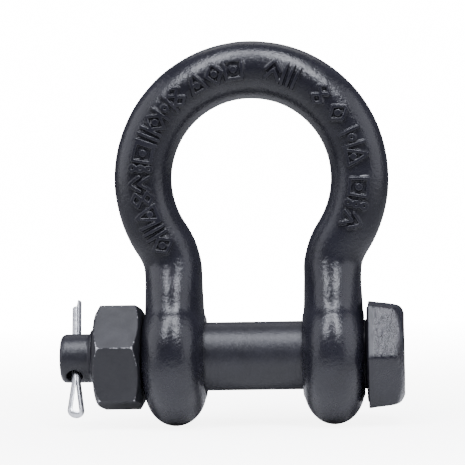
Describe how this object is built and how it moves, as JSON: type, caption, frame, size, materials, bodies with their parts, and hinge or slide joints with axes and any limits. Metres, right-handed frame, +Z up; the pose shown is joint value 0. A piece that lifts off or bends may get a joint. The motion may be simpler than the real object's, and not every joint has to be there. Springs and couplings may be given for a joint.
{
  "type": "bow shackle",
  "caption": "Forged bow shackle with raised marks, closed by a hex-head bolt through its eyes, a thick hex nut and a split pin.",
  "frame": {"origin": "on the bolt's axis, half way between the two eyes of the bow", "axes": "+Z up the bow to its crown, +X along the bolt towards its head, -Y is the front"},
  "size_m": [0.0957, 0.0386, 0.1068],
  "materials": {
    "bow_paint": "satin black paint over a forged surface",
    "bolt_paint": "satin black paint, smooth shank, forged head",
    "nut_black": "matt black finish with corners worn bright",
    "pin_zinc": "bright zinc"
  },
  "bodies": {
    "bow": {"bow": "bow_paint"},
    "bolt": {"bolt": "bolt_paint"},
    "nut": {"nut": "nut_black"},
    "split_pin": {"split_pin": "pin_zinc"}
  },
  "joints": [
    {"name": "bolt_shift", "type": "slide", "parent": "bow", "child": "bolt", "axis": [1, 0, 0], "range_m": [-0.0004, 0.002]},
    {"name": "nut_turn", "type": "hinge", "parent": "bow", "child": "nut", "pos_m": [-0.0375, 0, 0], "axis": [-1, 0, 0], "range_deg": [-72, 360]},
    {"name": "split_pin_pull", "type": "slide", "parent": "bolt", "child": "split_pin", "axis": [0.0715, -0.6929, -0.7175], "range_m": [0, 0.035]}
  ],
  "couplings": [
    {"joint": "nut_turn", "follows": "bolt_shift", "rad_per_m": 3141.6}
  ]
}
